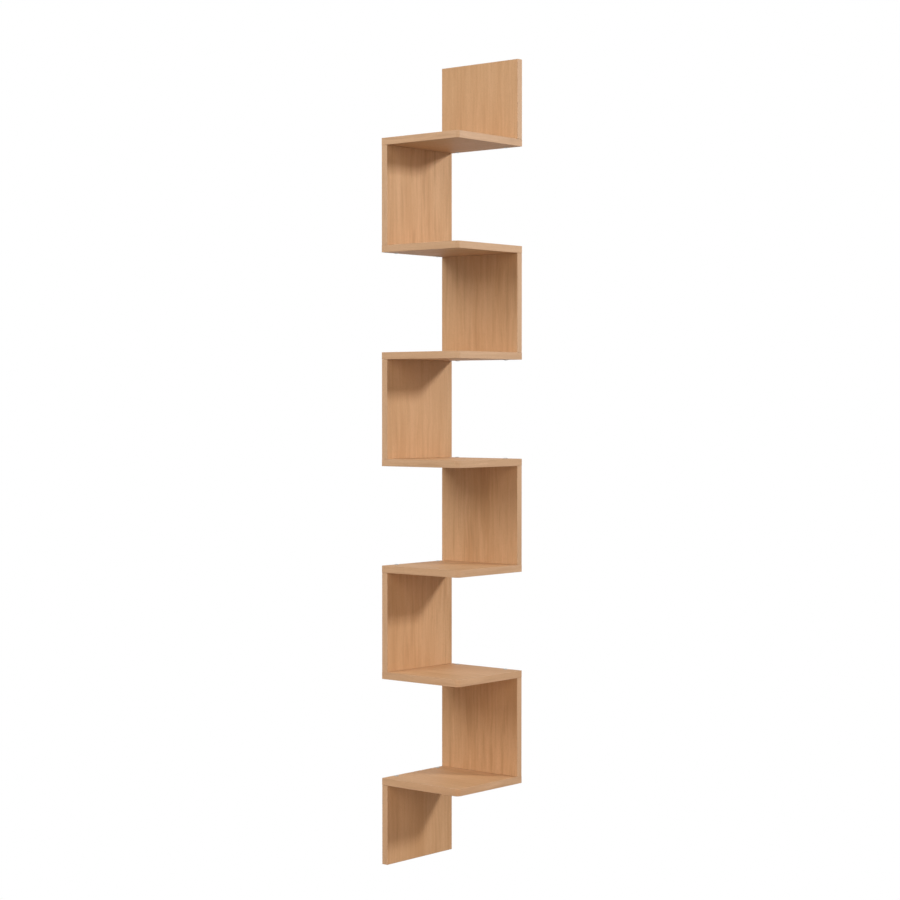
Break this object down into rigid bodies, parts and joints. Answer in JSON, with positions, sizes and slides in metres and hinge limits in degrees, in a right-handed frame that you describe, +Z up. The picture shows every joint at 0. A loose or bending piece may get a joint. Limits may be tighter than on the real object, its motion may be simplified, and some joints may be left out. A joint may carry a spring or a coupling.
{
  "type": "hanging corner shelf",
  "caption": "Tall zig-zag shelf that hangs in a room corner: square board shelves with a rounded corner and uprights on alternate walls, with edge bands, domed screws and hidden hangers.",
  "frame": {"origin": "on the line where the two walls meet, level with the foot of the lowest upright", "axes": "+X out along the right wall (the plane y = 0), -Y out along the left wall (the plane x = 0), +Z up"},
  "size_m": [0.25, 0.25, 2.026],
  "materials": {
    "beech_decor": "satin light beech decor on 18 mm board",
    "edge_band": "satin wood-print edge band",
    "screw_zinc": "zinc-plated steel",
    "hanger_zinc": "zinc die-casting"
  },
  "bodies": {
    "root": {"shelf_1": "beech_decor", "shelf_1_edge_band": "edge_band", "shelf_1_upper_screw_inner": "screw_zinc", "shelf_1_upper_screw_outer": "screw_zinc", "shelf_1_lower_screw_inner": "screw_zinc", "shelf_1_lower_screw_outer": "screw_zinc", "shelf_2": "beech_decor", "shelf_2_edge_band": "edge_band", "shelf_2_upper_screw_inner": "screw_zinc", "shelf_2_upper_screw_outer": "screw_zinc", "shelf_2_lower_screw_inner": "screw_zinc", "shelf_2_lower_screw_outer": "screw_zinc", "shelf_3": "beech_decor", "shelf_3_edge_band": "edge_band", "shelf_3_upper_screw_inner": "screw_zinc", "shelf_3_upper_screw_outer": "screw_zinc", "shelf_3_lower_screw_inner": "screw_zinc", "shelf_3_lower_screw_outer": "screw_zinc", "shelf_4": "beech_decor", "shelf_4_edge_band": "edge_band", "shelf_4_upper_screw_inner": "screw_zinc", "shelf_4_upper_screw_outer": "screw_zinc", "shelf_4_lower_screw_inner": "screw_zinc", "shelf_4_lower_screw_outer": "screw_zinc", "shelf_5": "beech_decor", "shelf_5_edge_band": "edge_band", "shelf_5_upper_screw_inner": "screw_zinc", "shelf_5_upper_screw_outer": "screw_zinc", "shelf_5_lower_screw_inner": "screw_zinc", "shelf_5_lower_screw_outer": "screw_zinc", "shelf_6": "beech_decor", "shelf_6_edge_band": "edge_band", "shelf_6_upper_screw_inner": "screw_zinc", "shelf_6_upper_screw_outer": "screw_zinc", "shelf_6_lower_screw_inner": "screw_zinc", "shelf_6_lower_screw_outer": "screw_zinc", "shelf_7": "beech_decor", "shelf_7_edge_band": "edge_band", "shelf_7_upper_screw_inner": "screw_zinc", "shelf_7_upper_screw_outer": "screw_zinc", "shelf_7_lower_screw_inner": "screw_zinc", "shelf_7_lower_screw_outer": "screw_zinc", "upright_1": "beech_decor", "upright_1_edge_band": "edge_band", "upright_2": "beech_decor", "upright_2_edge_band": "edge_band", "upright_3": "beech_decor", "upright_3_edge_band": "edge_band", "upright_4": "beech_decor", "upright_4_edge_band": "edge_band", "upright_5": "beech_decor", "upright_5_edge_band": "edge_band", "upright_6": "beech_decor", "upright_6_edge_band": "edge_band", "upright_7": "beech_decor", "upright_7_edge_band": "edge_band", "upright_8": "beech_decor", "upright_8_edge_band": "edge_band", "wall_hanger_right": "hanger_zinc", "wall_hanger_left": "hanger_zinc"}
  },
  "joints": []
}
